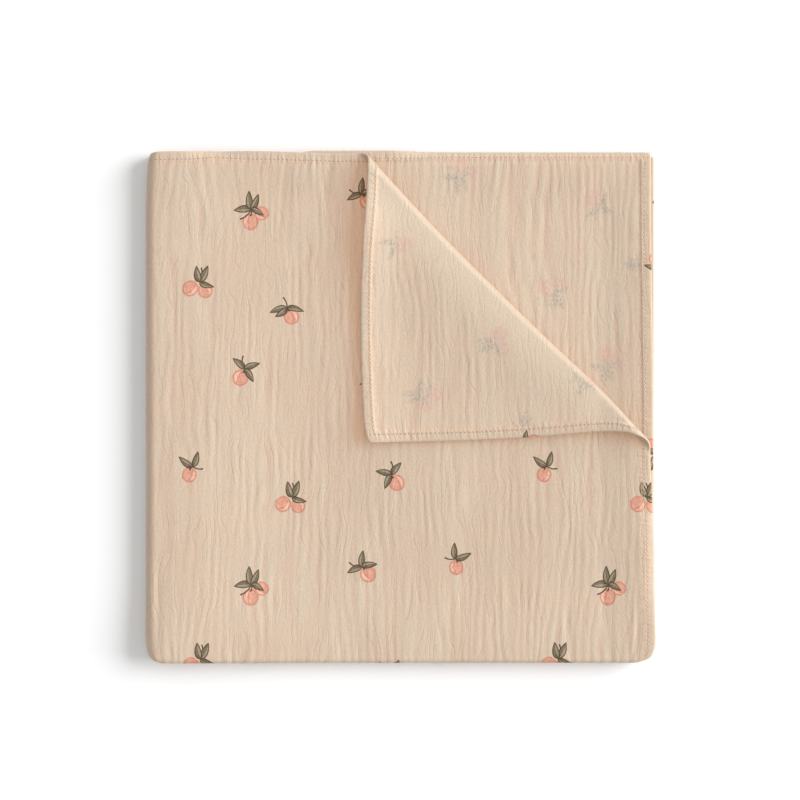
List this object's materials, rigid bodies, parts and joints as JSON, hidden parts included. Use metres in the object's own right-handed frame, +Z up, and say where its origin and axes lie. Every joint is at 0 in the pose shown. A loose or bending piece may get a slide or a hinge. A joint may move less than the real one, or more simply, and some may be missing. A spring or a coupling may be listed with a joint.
{
  "type": "folded burp cloth",
  "caption": "Square cotton gauze burp cloth with turned hems, folded in quarters, with a corner of its top layer turned back.",
  "frame": {"origin": "middle of the underside of the folded stack, on the surface it rests on", "axes": "+Z up through the layers, +Y towards the open edge at the top of the stack, +X towards its open edge on the right"},
  "size_m": [0.3, 0.3017, 0.0169],
  "materials": {
    "burp_cloth": "matte crinkled cotton gauze"
  },
  "bodies": {
    "root": {"burp_cloth": "burp_cloth"}
  },
  "joints": []
}
